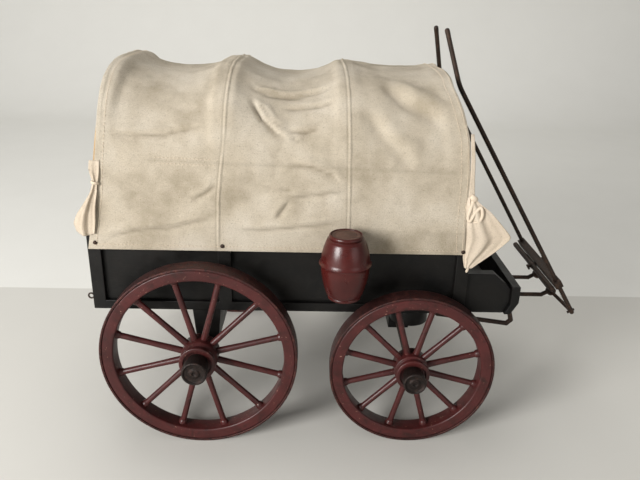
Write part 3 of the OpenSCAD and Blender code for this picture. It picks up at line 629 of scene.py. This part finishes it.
def coverShape(x, s):  # how far the cloth stands off its arch, and its place on the arch
    up = np.minimum(s, clothLength - s)
    seams = [table(name, up) for name in ("rear", "second", "third", "front")]
    # the second array is painted shade for the cloth's colour, in the creases and beside the seams
    lift, paintedShade = np.zeros_like(x), np.zeros_like(x)
    weight = step(80, 165, up)
    for k, deep in enumerate(cover["sag"]):
        a, b = seams[k] + (3 if k == 0 else 6), seams[k + 1] - (3 if k == 2 else 6)
        t = np.clip((x - a) / (b - a), 0, 1)
        lift -= deep * weight * (4 * t * (1 - t)) ** 0.9
        lift -= 0.9 * step(16, 60, up) * (1 - weight) * (4 * t * (1 - t))
    for k in (1, 2):
        off = x - seams[k]
        pucker = 1 + 0.25 * np.sin(s * 1.05 + k) * np.exp(-(off / 6) ** 2)
        lift += cover["seamHigh"] * pucker * np.exp(-(np.abs(off) / cover["seamWide"]) ** 4) * step(0, 14, up)
        lift += 0.35 * np.sin(s * 0.55 + 2 * k) * np.exp(-(off / 9) ** 2) * step(10, 30, up)
    for points, deep, fullWide in creases:
        wide = cover["creaseWide"] * fullWide
        nearest, side, along = np.full_like(x, 1e9), np.zeros_like(x), np.zeros_like(x)
        lengths = [math.dist(a, b) for a, b in zip(points, points[1:])]
        run = 0
        for (xa, sa), (xb, sb), length in zip(points, points[1:], lengths):
            dx, ds = (xb - xa) / length, (sb - sa) / length
            t = np.clip((x - xa) * dx + (up - sa) * ds, 0, length)
            px, ps = x - xa - t * dx, up - sa - t * ds
            far = np.hypot(px, ps)
            closer = far < nearest
            nearest = np.where(closer, far, nearest)
            side = np.where(closer, (-ds * px + dx * ps), side)
            along = np.where(closer, run + t, along)
            run += length
        ends = step(0, 0.25 * run, along) * step(0, 0.25 * run, run - along)
        mirror = np.where(s > clothLength / 2, 0.8, 1.0)
        beside = np.exp(-((side - 1.7 * wide) / (1.3 * wide)) ** 2) * (nearest < 5 * wide)
        fold = -np.exp(-(nearest / wide) ** 2) + 0.8 * beside
        lift += cover["creaseDepth"] * deep * ends * mirror * fold
        # painted shade along the narrow creases, darkest in the valley
        paintedShade += 0.55 * ends * np.exp(-(nearest / (0.55 * wide)) ** 2) * (fullWide < 6)
    panel = np.exp(-((up - cover["panelSeam"]) / 1.1) ** 2) * step(-60, -30, x) * (1 - step(225, 240, x))
    lift += 0.4 * panel
    # painted shadow just below the raised panel seam
    paintedShade += 0.4 * np.exp(-((up - cover["panelSeam"] + 1.6) / 0.9) ** 2) * step(-60, -30, x) * (1 - step(225, 240, x))
    # painted shade just behind each bow seam
    for seam in seams[1:3]:
        paintedShade += 0.45 * np.exp(-((x - seam + 2.2) / 0.9) ** 2)
    return lift, up, paintedShade


def coverPoint(x, s, out=0.0):  # the cloth's own surface, at a place along the wagon and along the cloth
    x, s = np.asarray(x, float), np.asarray(s, float)
    lift, up, _ = coverShape(x, s)
    rough = np.array([noise.fractal(Vector((a / 34, b / 30, 3.1)), 1.0, 2.0, 3) * 1.5
                      + noise.noise(Vector((a / 9, b / 11, 7.7))) * 0.3 for a, b in zip(x.ravel(), s.ravel())])
    lift = lift + rough.reshape(x.shape) * step(12, 40, up)
    # near a bow and over the posts the cloth can't go inwards
    bow = np.minimum.reduce([np.abs(x - c) for c in bowPlaces(up)])
    firm = np.maximum(1 - step(4, 14, bow), 1 - step(14, 34, up))
    lift = np.where(lift < -0.3, lift * (1 - firm) - 0.3 * firm, lift) + out
    y, z = np.interp(s, archLength, archY), np.interp(s, archLength, archZ)
    ahead, behind = np.clip(s + 1.5, 0, clothLength), np.clip(s - 1.5, 0, clothLength)
    dy = np.interp(ahead, archLength, archY) - np.interp(behind, archLength, archY)
    dz = np.interp(ahead, archLength, archZ) - np.interp(behind, archLength, archZ)
    long = np.hypot(dy, dz)
    z = z - crestFall * (x - crestFrom) * np.clip(up / 30, 0, 1)
    return x, y - lift * dz / long, z + lift * dy / long


def bowPlaces(up):  # where the four bows stand at a height up the cloth
    places = []
    rise = np.interp(up, archLength, archZ)
    for node, tilt in (("rear_bow", 1), ("second_bow", 0), ("third_bow", 0), ("front_bow", -1)):
        a, b = fromAxle(low(node).x) + 2.5, fromAxle(high(node).x) - 2.5
        share = np.clip((rise - springZ) / (topZ - springZ), 0, 1)
        places.append({1: a + (b - a) * share, 0: (a + b) / 2, -1: b - (b - a) * share}[tilt])
    return places


def stations(length, coarse, fine, zones=(4, 4)):  # places from 0 to length, close together near both ends
    places, p = [0.0], 0.0
    while p < length:
        near = p < zones[0] or length - p <= zones[1] + coarse
        p += fine if near else coarse
        if p < length - fine * 0.4:
            places.append(p)
    return places + [float(length)]


bays = [stations(b - a, cover["coarse"], cover["fine"]) for a, b in
        ((-90, 24), (24, 134), (134, 236))]
rows = np.array(stations(clothLength, cover["rowStep"], 0.9, (8, 8)))
columns = [(0, f / bays[0][-1]) for f in bays[0]] + [(1, f / bays[1][-1]) for f in bays[1][1:]] + \
          [(2, f / bays[2][-1]) for f in bays[2][1:]]
upRows = np.minimum(rows, clothLength - rows)
lines = [table(name, upRows) for name in ("rear", "second", "third", "front")]
gridX = np.array([lines[bay] + (lines[bay + 1] - lines[bay]) * share for bay, share in columns])
gridS = np.tile(rows, (len(columns), 1))
px, py, pz = coverPoint(gridX, gridS)
points = [at(*p) for p in zip(px.ravel(), py.ravel(), pz.ravel())]
wide = len(rows)
faces = [(i * wide + j, (i + 1) * wide + j, (i + 1) * wide + j + 1, i * wide + j + 1)
         for i in range(len(columns) - 1) for j in range(wide - 1)]
coverPiece = build("canvas_tilt", points, faces, canvas, "wagon", "canvas", 0)
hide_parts("canvas_cover")
store = coverPiece.data.attributes.new("clothMm", "FLOAT_VECTOR", "POINT")
store.data.foreach_set("vector", np.stack([gridX, gridS, 0 * gridS], -1).astype(np.float32).ravel())
# painted shade in the creases and beside the seams, stored for the canvas material
foldShadeStore = coverPiece.data.attributes.new("foldSoil", "FLOAT", "POINT")
foldShadeStore.data.foreach_set("value", np.clip(coverShape(gridX, gridS)[2], 0, 1).astype(np.float32).ravel())
thicken = coverPiece.modifiers.new("cloth thickness", "SOLIDIFY")
thicken.thickness, thicken.offset = cover["thick"] / 1000, 0
print("cover sewn", len(points))


# stitches

stitches = dict(pitch=3.4, length=2.3, radius=0.36)


def stitchRow(xs, ss):  # short threads along a line on the cloth
    xs, ss = np.array(xs, float), np.array(ss, float)
    gaps = np.concatenate([[0], np.cumsum(np.hypot(np.diff(xs), np.diff(ss)))])
    starts = np.arange(1, gaps[-1] - stitches["length"], stitches["pitch"])
    parts = []
    shares = np.array([0, 0.2, 0.5, 0.8, 1])
    wanted = (starts[:, None] + shares[None, :] * stitches["length"]).ravel()
    height = np.tile([-0.35, 0.15, 0.3, 0.15, -0.35], len(starts))
    x, y, z = coverPoint(np.interp(wanted, gaps, xs), np.interp(wanted, gaps, ss), cover["thick"] / 2 + height)
    radii = (0.5, 0.9, 1, 0.9, 0.5)
    for k in range(len(starts)):
        line = [at(*p) for p in zip(x[5 * k:5 * k + 5], y[5 * k:5 * k + 5], z[5 * k:5 * k + 5])]
        ahead = line[-1] - line[0]
        sideways = Vector((0, 0, 1)) if abs(ahead.normalized().x) > 0.7 else Vector((1, 0, 0))
        parts.append(swept(line, lambda i, a: stitches["radius"] * radii[i], 6, sideways))
    return parts


parts = []
for far in (False, True):
    def over(s):
        return clothLength - s if far else s
    along = np.linspace(-96, 243, 90)
    parts += stitchRow(along, over(np.full(90, 5.2)))
    parts += stitchRow(np.linspace(-37, 14, 20), over(np.full(20, 88.0)))
    parts += stitchRow(np.linspace(-33, 19, 20), over(np.full(20, 83.0)))
s = np.linspace(2, clothLength - 2, 160)
up = np.minimum(s, clothLength - s)
parts += stitchRow(table("rear", up) + 7, s)
parts += stitchRow(table("front", up) - 8, s)
parts += stitchRow(table("front", up) - 2.2, s)
piece = build("cover_stitches", *join(parts), flapCanvas, "wagon", "canvas", 0)
print("stitches sewn", len(piece.data.polygons))


# ties and flaps

def archHalf(z):  # how far out the cloth stands at a height
    t = np.clip((z - springZ) / (topZ - springZ), 0, 0.999)
    return halfWide * (1 - t ** cover["squareness"]) ** (1 / cover["squareness"])


def clothStrip(name, rowsOfStrip, side, folds, columnsCount=22, between=6, thick=0.9, channel=0.0):
    # rows: height, rear edge, front edge, stand-off at the rear edge and the front edge, fold depth
    rowsOfStrip = np.array(rowsOfStrip, float)
    t = np.arange(len(rowsOfStrip))
    fineT = np.linspace(0, len(rowsOfStrip) - 1, (len(rowsOfStrip) - 1) * between + 1)
    full = np.stack([np.interp(fineT, t, rowsOfStrip[:, c]) for c in range(6)], 1)
    for _ in range(2):
        full[1:-1] = (full[:-2] + 2 * full[1:-1] + full[2:]) / 4
    points, store = [], []
    for z, xa, xb, outA, outB, deep in full:
        for i in range(columnsCount + 1):
            u = i / columnsCount
            wave = deep * (math.sin(math.pi * folds * u + 0.02 * z)
                           + 0.35 * math.sin(2.3 * math.pi * folds * u + 0.05 * z))
            bowOut = math.sin(math.pi * u) * deep * 0.7 + channel * math.exp(-((u - 0.16) / 0.05) ** 2)
            out = archHalf(z) + outA + (outB - outA) * u + bowOut + wave
            points.append(at(xa + (xb - xa) * u, side * out, z + 1.4 * math.sin(u * 5 + z * 0.1) * (deep > 0.3)))
            store.append((xa + (xb - xa) * u, z, 0))
    n = columnsCount + 1
    faces = [(r * n + i, (r + 1) * n + i, (r + 1) * n + i + 1, r * n + i + 1)
             for r in range(len(full) - 1) for i in range(columnsCount)]
    if side > 0:
        faces = [f[::-1] for f in faces]
    piece = build(name, points, faces, flapCanvas, "wagon", "canvas", 0)
    data = piece.data.attributes.new("clothMm", "FLOAT_VECTOR", "POINT")
    data.data.foreach_set("vector", np.array(store, np.float32).ravel())
    solid = piece.modifiers.new("cloth thickness", "SOLIDIFY")
    solid.thickness, solid.offset = thick / 1000, 0
    return piece


def ribbon(name, line, wideMm, thickMm, side):  # a tape or string loop, oval in section
    line = [Vector(p) for p in line]
    smooth = []
    for k in range(len(line) - 1):  # a Catmull-Rom curve through the points
        p0, p1, p2, p3 = line[max(k - 1, 0)], line[k], line[k + 1], line[min(k + 2, len(line) - 1)]
        for i in range(8):
            t = i / 8
            smooth.append(0.5 * ((2 * p1) + (p2 - p0) * t + (2 * p0 - 5 * p1 + 4 * p2 - p3) * t * t
                                 + (3 * p1 - p0 - 3 * p2 + p3) * t ** 3))
    smooth.append(line[-1])
    total = len(smooth)

    def section(k, angle):
        end = min(1, (min(k, total - 1 - k) + 1.5) / 4)
        return end / math.sqrt((math.cos(angle) / (wideMm / 2)) ** 2 + (math.sin(angle) / (thickMm / 2)) ** 2)

    line = [at(p.x, side * p.y, p.z) for p in smooth]
    points = []
    for k, p in enumerate(line):
        ahead = (line[min(k + 1, total - 1)] - line[max(k - 1, 0)]).normalized()
        third = Vector((0, 1, 0))
        across = ahead.cross(third).normalized()
        third = across.cross(ahead)
        for i in range(14):
            a = 2 * math.pi * i / 14
            r = section(k, a) / 1000
            points.append(p + (across * math.cos(a) + third * math.sin(a)) * r)
    return build(name, points, rings(total, 14, capped=True), flapCanvas, "wagon", "canvas", 0)


rearTie = [(274, -92, -83, 0.9, 0.9, 0.1), (265, -93, -83.5, 1.2, 1.0, 0.3), (258, -91, -85, 1.6, 1.4, 0.5),
           (254, -89.7, -86.3, 2.0, 2.0, 0.4), (246, -93, -87, 2.0, 1.6, 0.9), (235, -101, -89, 1.8, 1.4, 1.2),
           (225, -108, -90, 1.4, 1.2, 1.4), (215, -112, -91, 1.0, 1.2, 1.5), (206, -110, -93, 0.8, 1.2, 1.5)]
frontFlap = [(247, 243.0, 249.5, 1.0, 2.2, 0.3), (241, 242.6, 256, 0.9, 3.0, 0.8), (235, 242.6, 264, 0.9, 3.6, 1.3),
             (220, 242.6, 276, 0.9, 3.4, 1.8), (209, 243, 286, 1.0, 3.0, 1.9), (198, 243.5, 274, 1.2, 3.0, 1.7),
             (187, 244.6, 260, 1.6, 3.2, 1.1), (179, 246.6, 251.4, 2.4, 3.0, 0.3)]
frontStrip = [(302, 241.5, 244.5, 1.0, 1.0, 0), (280, 243, 246.5, 1.1, 1.1, 0.1), (260, 243.2, 247.4, 1.4, 1.4, 0.1),
              (247, 243.2, 248.6, 1.6, 2.2, 0.3)]
for side, hand in ((-1, "right"), (1, "left")):
    rearPiece = clothStrip(f"rear_tie_{hand}", rearTie, side, 3)
    flapPiece = clothStrip(f"front_flap_{hand}", frontFlap, side, 3, 40, channel=1.4)
    stripPiece = clothStrip(f"front_strip_{hand}", frontStrip, side, 1, 6)
    y = float(archHalf(254)) + 2.6
    knot = ribbon(f"rear_tie_string_{hand}", [(-91.5, y - 1, 255.5), (-89, y + 1.4, 254.8), (-86.5, y + 1.2, 254.2),
                                              (-84.5, y - 0.8, 253.6)], 2.6, 1.7, side)
    y = float(archHalf(246)) + 2.6
    loop = ribbon(f"front_tie_bow_{hand}", [(248.6, y, 247), (246, y + 1.5, 238), (244, y + 1.8, 229),
                                            (246, y + 2.4, 225.5),
                                            (250, y + 2, 233), (254.5, y + 2.4, 238.5), (256.5, y + 2.8, 232),
                                            (254.5, y + 2.6, 226), (249.5, y + 2, 224)], 3.0, 1.1, side)
    tail = ribbon(f"front_tie_tail_{hand}", [(249, y + 0.4, 183), (249.6, y, 179), (248.6, y - 0.6, 174)],
                  2.6, 1.0, side)
    knob = ribbon(f"front_tie_knot_{hand}", [(245, y + 0.4, 248.6), (246.6, y + 1.6, 247.6), (248.8, y + 1.2, 246),
                                             (249.8, y, 244.8)], 5, 3.2, side)
print("ties made")


# floor, light and camera

# each softbox: its place in metres, its width in metres and its power in watts
studio = dict(floorNear="#c9c7c1", floorFar="#dddcd7", lineY=195, world=0.32,
              key=(-1.3, -1.35, 0.7, 0.8, 52), fill=(1.3, -1.5, 0.6, 1.2, 5), over=(-0.3, 0.3, 1.8, 1.4, 4),
              wash=(-0.3, 1.0, 2.6, 2.2, 20), washAt=(-0.5, 2.0, 0.5))


def studioPaper(name, near, far):
    # Matt backdrop paper: even, with the faintest mottling; a second sheet starts behind the wagon.
    material, tree, shader, place = begin(name, {"Roughness": 0.85, "Specular IOR Level": 0.2})
    across = add(tree, "ShaderNodeSeparateXYZ", inputs={0: place}).outputs["Y"]
    sheetEdge = add(tree, "ShaderNodeMapRange", inputs={"Value": across, "From Min": studio["lineY"] - 1.5,
                                                        "From Max": studio["lineY"] + 1.5})
    colour = add(tree, "ShaderNodeMix", blend,
                 {0: sheetEdge.outputs["Result"], 6: linear(near), 7: linear(far)}).outputs[2]
    cloud = add(tree, "ShaderNodeTexNoise", inputs={"Vector": place, "Scale": 0.01, "Detail": 4, "Roughness": 0.55})
    mottle = add(tree, "ShaderNodeMapRange", inputs={"Value": cloud.outputs["Fac"], "From Min": 0.3,
                                                     "From Max": 0.8, "To Max": 0.05})
    colour = add(tree, "ShaderNodeMix", blend,
                 {0: mottle.outputs["Result"], 6: colour, 7: linear("#a8a49b")}).outputs[2]
    tree.links.new(colour, shader.inputs["Base Color"])
    return material


profile = [(-6, 0), (-3, 0), (0, 0), (0.19, 0), (0.2, 0), (1.0, 0), (1.5, 0)]
profile += [(1.5 + 0.5 * math.sin(a), 0.5 - 0.5 * math.cos(a)) for a in np.linspace(0.1, math.pi / 2, 14)]
profile += [(2.0, 2.0), (2.0, 4.5)]
mesh = bpy.data.meshes.new("studio_floor")
mesh.from_pydata([(x, y, z) for y, z in profile for x in (-6, -2, 2, 6)], [],
                 [(4 * k + i, 4 * k + i + 1, 4 * k + i + 5, 4 * k + i + 4)
                  for k in range(len(profile) - 1) for i in range(3)])
mesh.shade_smooth()
floor = bpy.data.objects.new("studio_floor", mesh)
scene.collection.objects.link(floor)
mesh.materials.append(studioPaper("matt_backdrop_paper", studio["floorNear"], studio["floorFar"]))


def softbox(name, place, target=(0, 0, 0.15)):
    x, y, z, wideM, power = place
    lamp = bpy.data.lights.new(name, "AREA")
    lamp.shape, lamp.size, lamp.energy = "DISK", wideM, power
    lamp.color = (1.0, 0.99, 0.975)
    holder = bpy.data.objects.new(name, lamp)
    holder.location = (x, y, z)
    holder.rotation_euler = (Vector(target) - Vector((x, y, z))).to_track_quat("-Z", "Y").to_euler()
    scene.collection.objects.link(holder)


softbox("key_softbox", studio["key"])
softbox("fill_softbox", studio["fill"])
softbox("overhead_softbox", studio["over"])
softbox("wall_wash", studio["wash"], studio["washAt"])
world = bpy.data.worlds.new("studio")
scene.world = world
world.use_nodes = True
world.node_tree.nodes["Background"].inputs[0].default_value = (1.0, 0.99, 0.97, 1)
world.node_tree.nodes["Background"].inputs[1].default_value = studio["world"]
scene.view_settings.view_transform = "Standard"

cameraAt = dict(ahead=0.10302, beside=-0.653, up=0.410, lens=35.3)
lens = bpy.data.cameras.new("camera")
lens.lens, lens.sensor_width = cameraAt["lens"], 36
camera = bpy.data.objects.new("camera", lens)
scene.collection.objects.link(camera)
rows = ((0.99975, -0.01704, -0.01466), (-0.00756, 0.35940, -0.93315), (0.02117, 0.93303, 0.35918))
camera.matrix_world = Matrix.Translation((rearAxleX + cameraAt["ahead"], cameraAt["beside"], cameraAt["up"])) \
    @ Matrix(rows).to_4x4()
scene.camera = camera
print("studio set")
